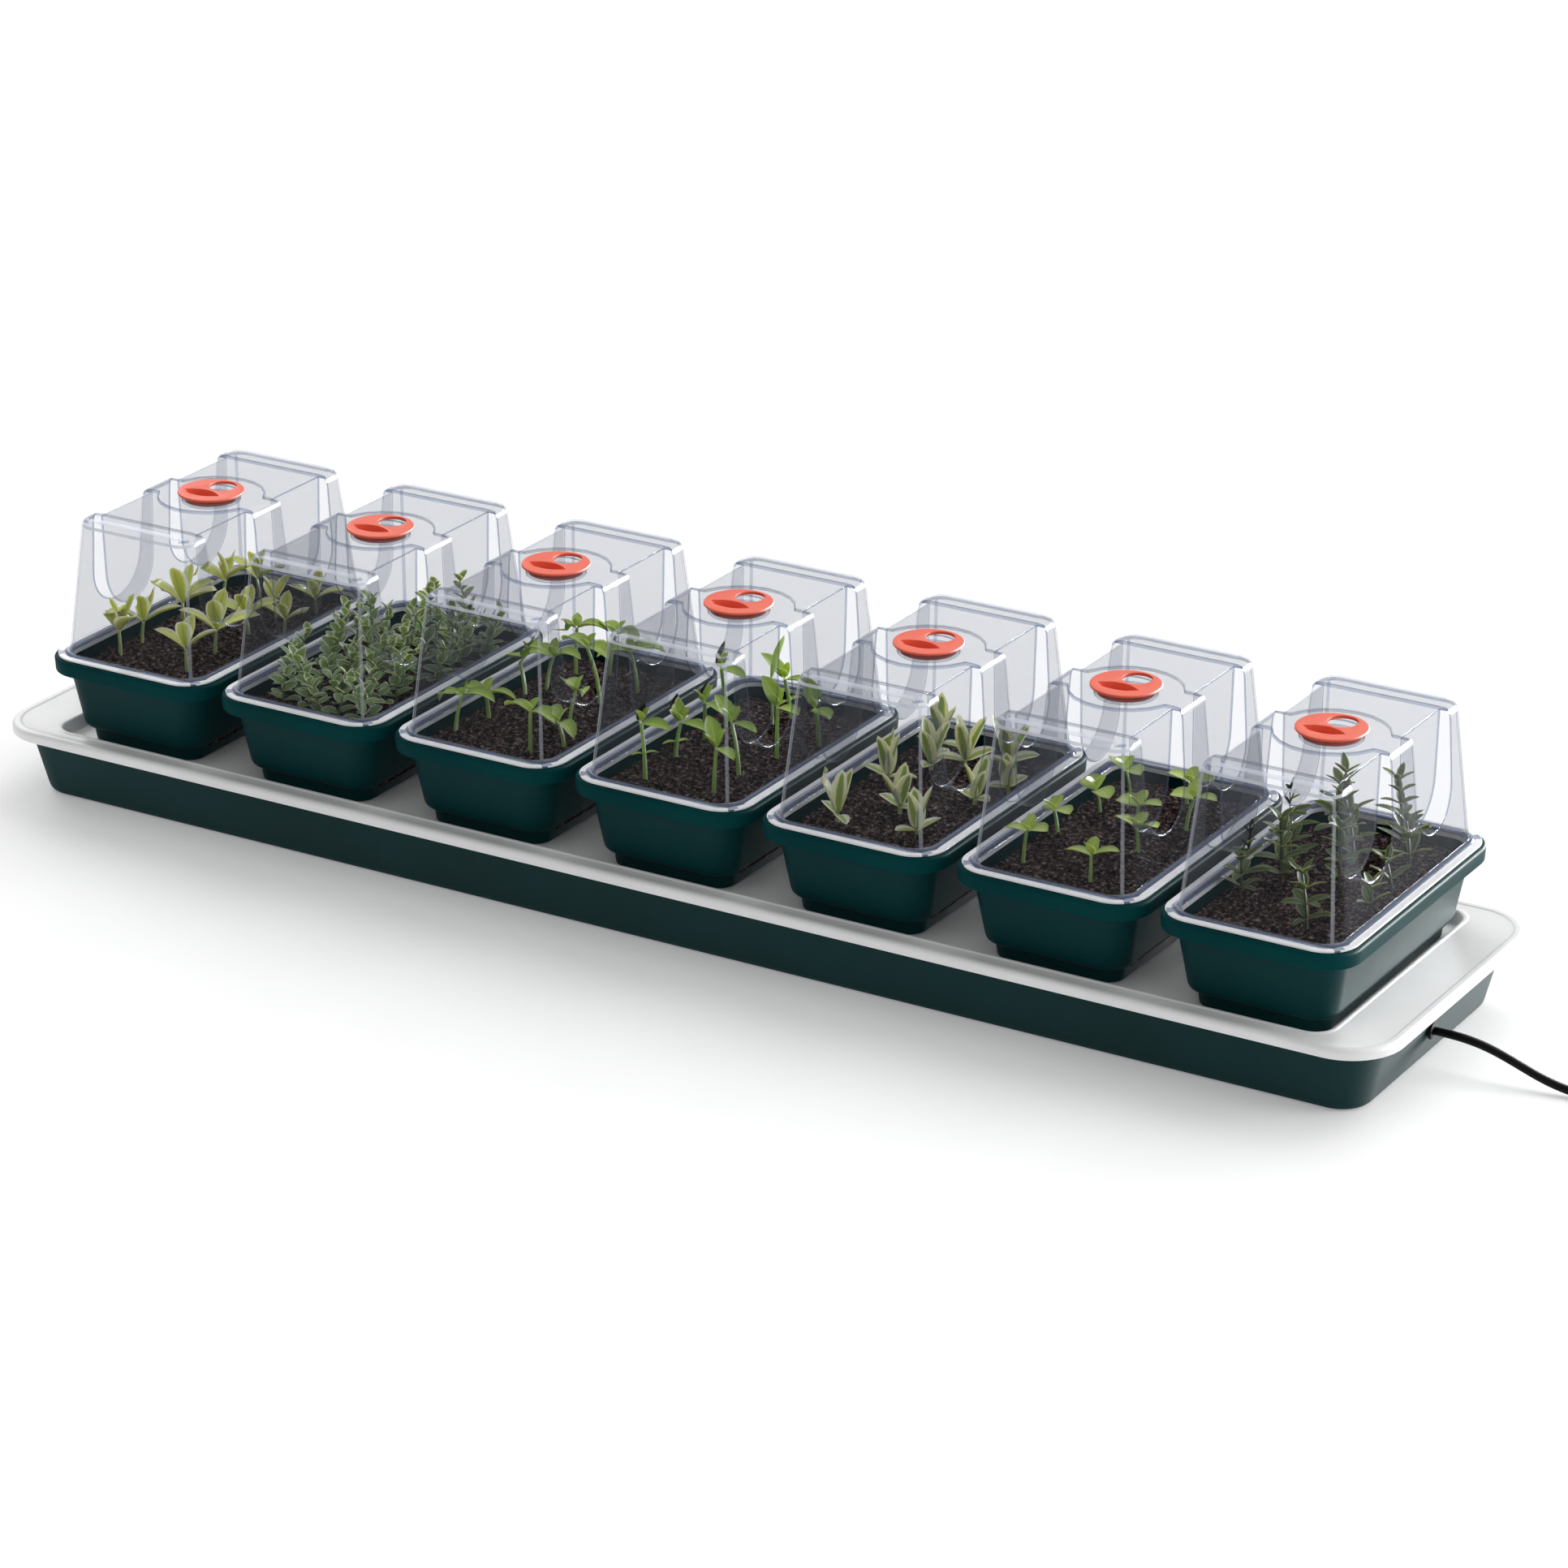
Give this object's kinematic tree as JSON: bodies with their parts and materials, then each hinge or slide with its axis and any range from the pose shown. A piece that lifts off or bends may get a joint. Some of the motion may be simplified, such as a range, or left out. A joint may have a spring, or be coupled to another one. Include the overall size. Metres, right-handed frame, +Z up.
{
  "type": "heated windowsill propagator",
  "caption": "Mains-heated windowsill tray carrying a row of lift-out seedling trays, each with a clear lid and a rotary vent.",
  "frame": {"origin": "middle of the footprint of the base, on the surface it stands on, without the lead", "axes": "+X along the row towards the end the mains lead leaves, +Y to the back, +Z up"},
  "size_m": [0.9425, 0.218, 0.1484],
  "materials": {
    "green_casing": "fine satin moulding",
    "white_top": "satin white",
    "element": "silicone sheath",
    "foil": "bright foil",
    "insulation": "felt",
    "sleeves": "crimped sleeve",
    "cores": "insulated core",
    "clamp": "moulded bar",
    "screws": "zinc",
    "black_gland": "moulded",
    "black_cord": "satin sheath",
    "tie": "strap",
    "black_plug": "moulded",
    "pins": "nickel-plated",
    "teal_tray": "satin moulding",
    "compost": "loose crumb",
    "clear_lid": "clear moulding",
    "orange_vent": "satin moulding"
  },
  "bodies": {
    "base": {"base_casing": "green_casing", "heater_top": "white_top", "heating_cable": "element", "foil_sheet": "foil", "insulation_pad": "insulation", "cable_joints": "sleeves", "lead_cores": "cores", "cord_clamp": "clamp", "clamp_screws": "screws", "cable_gland": "black_gland", "mains_cord": "black_cord", "cord_coil": "black_cord", "cord_tail": "black_cord", "coil_tie": "tie", "plug_body": "black_plug", "plug_pins": "pins"},
    "tray_set_1": {"tray_1": "teal_tray", "compost_1": "compost"},
    "lid_set_1": {"lid_1": "clear_lid"},
    "vent_disc_1": {"vent_1": "orange_vent"},
    "tray_set_2": {"tray_2": "teal_tray", "compost_2": "compost"},
    "lid_set_2": {"lid_2": "clear_lid"},
    "vent_disc_2": {"vent_2": "orange_vent"},
    "tray_set_3": {"tray_3": "teal_tray", "compost_3": "compost"},
    "lid_set_3": {"lid_3": "clear_lid"},
    "vent_disc_3": {"vent_3": "orange_vent"},
    "tray_set_4": {"tray_4": "teal_tray", "compost_4": "compost"},
    "lid_set_4": {"lid_4": "clear_lid"},
    "vent_disc_4": {"vent_4": "orange_vent"},
    "tray_set_5": {"tray_5": "teal_tray", "compost_5": "compost"},
    "lid_set_5": {"lid_5": "clear_lid"},
    "vent_disc_5": {"vent_5": "orange_vent"},
    "tray_set_6": {"tray_6": "teal_tray", "compost_6": "compost"},
    "lid_set_6": {"lid_6": "clear_lid"},
    "vent_disc_6": {"vent_6": "orange_vent"},
    "tray_set_7": {"tray_7": "teal_tray", "compost_7": "compost"},
    "lid_set_7": {"lid_7": "clear_lid"},
    "vent_disc_7": {"vent_7": "orange_vent"}
  },
  "joints": [
    {"name": "tray_lift_1", "type": "slide", "parent": "base", "child": "tray_set_1", "axis": [0, 0, 1], "range_m": [0, 0.12]},
    {"name": "lid_lift_1", "type": "slide", "parent": "tray_set_1", "child": "lid_set_1", "axis": [0, 0, 1], "range_m": [0, 0.08]},
    {"name": "vent_turn_1", "type": "hinge", "parent": "lid_set_1", "child": "vent_disc_1", "pos_m": [-0.304, 0, 0.1462], "axis": [0, 0, 1], "continuous": true},
    {"name": "tray_lift_2", "type": "slide", "parent": "base", "child": "tray_set_2", "axis": [0, 0, 1], "range_m": [0, 0.12]},
    {"name": "lid_lift_2", "type": "slide", "parent": "tray_set_2", "child": "lid_set_2", "axis": [0, 0, 1], "range_m": [0, 0.08]},
    {"name": "vent_turn_2", "type": "hinge", "parent": "lid_set_2", "child": "vent_disc_2", "pos_m": [-0.2015, 0, 0.1462], "axis": [0, 0, 1], "continuous": true},
    {"name": "tray_lift_3", "type": "slide", "parent": "base", "child": "tray_set_3", "axis": [0, 0, 1], "range_m": [0, 0.12]},
    {"name": "lid_lift_3", "type": "slide", "parent": "tray_set_3", "child": "lid_set_3", "axis": [0, 0, 1], "range_m": [0, 0.08]},
    {"name": "vent_turn_3", "type": "hinge", "parent": "lid_set_3", "child": "vent_disc_3", "pos_m": [-0.099, 0, 0.1462], "axis": [0, 0, 1], "continuous": true},
    {"name": "tray_lift_4", "type": "slide", "parent": "base", "child": "tray_set_4", "axis": [0, 0, 1], "range_m": [0, 0.12]},
    {"name": "lid_lift_4", "type": "slide", "parent": "tray_set_4", "child": "lid_set_4", "axis": [0, 0, 1], "range_m": [0, 0.08]},
    {"name": "vent_turn_4", "type": "hinge", "parent": "lid_set_4", "child": "vent_disc_4", "pos_m": [0.0035, 0, 0.1462], "axis": [0, 0, 1], "continuous": true},
    {"name": "tray_lift_5", "type": "slide", "parent": "base", "child": "tray_set_5", "axis": [0, 0, 1], "range_m": [0, 0.12]},
    {"name": "lid_lift_5", "type": "slide", "parent": "tray_set_5", "child": "lid_set_5", "axis": [0, 0, 1], "range_m": [0, 0.08]},
    {"name": "vent_turn_5", "type": "hinge", "parent": "lid_set_5", "child": "vent_disc_5", "pos_m": [0.106, 0, 0.1462], "axis": [0, 0, 1], "continuous": true},
    {"name": "tray_lift_6", "type": "slide", "parent": "base", "child": "tray_set_6", "axis": [0, 0, 1], "range_m": [0, 0.12]},
    {"name": "lid_lift_6", "type": "slide", "parent": "tray_set_6", "child": "lid_set_6", "axis": [0, 0, 1], "range_m": [0, 0.08]},
    {"name": "vent_turn_6", "type": "hinge", "parent": "lid_set_6", "child": "vent_disc_6", "pos_m": [0.2085, 0, 0.1462], "axis": [0, 0, 1], "continuous": true},
    {"name": "tray_lift_7", "type": "slide", "parent": "base", "child": "tray_set_7", "axis": [0, 0, 1], "range_m": [0, 0.12]},
    {"name": "lid_lift_7", "type": "slide", "parent": "tray_set_7", "child": "lid_set_7", "axis": [0, 0, 1], "range_m": [0, 0.08]},
    {"name": "vent_turn_7", "type": "hinge", "parent": "lid_set_7", "child": "vent_disc_7", "pos_m": [0.311, 0, 0.1462], "axis": [0, 0, 1], "continuous": true}
  ]
}
